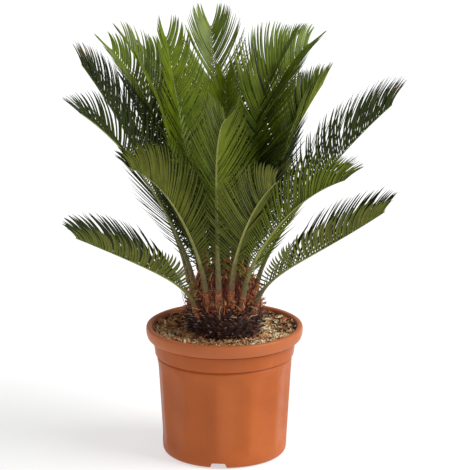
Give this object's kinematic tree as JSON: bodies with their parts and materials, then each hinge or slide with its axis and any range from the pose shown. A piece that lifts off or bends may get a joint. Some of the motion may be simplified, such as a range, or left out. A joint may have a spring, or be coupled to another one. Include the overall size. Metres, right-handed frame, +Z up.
{
  "type": "potted sago palm",
  "caption": "Young sago palm with a stout fibrous trunk and a full crown of arching feather fronds, growing in a round plastic nursery pot.",
  "frame": {"origin": "middle of the pot's flat underside", "axes": "+Z up along the trunk, -Y towards the viewer of the picture, +X to the viewer's right"},
  "size_m": [0.4981, 0.5847, 0.6653],
  "materials": {
    "pot": "satin terracotta-coloured moulded plastic",
    "potting_mix": "coarse dark mix of bark chips, fibre and peat",
    "trunk": "dark shaggy fibre with red-brown woolly scales",
    "frond": "stiff leaflets, glossy deep green above and matte olive below"
  },
  "bodies": {
    "root": {"pot": "pot", "potting_mix": "potting_mix", "trunk": "trunk", "frond_low_left": "frond", "frond_low_right": "frond", "frond_low_back_right": "frond", "frond_low_back_left": "frond", "frond_front_left": "frond", "frond_front": "frond", "frond_front_right": "frond", "frond_right_front": "frond", "frond_right": "frond", "frond_left": "frond", "frond_left_back": "frond", "frond_back_mid_right": "frond", "frond_back_mid": "frond", "frond_back_mid_left": "frond", "frond_back_right": "frond", "frond_upper_left": "frond", "frond_upper_left_inner": "frond", "frond_upper_back_left": "frond", "frond_upper_back": "frond", "frond_top": "frond", "frond_upper_back_right": "frond", "frond_upper_right": "frond", "frond_heart": "frond"}
  },
  "joints": []
}
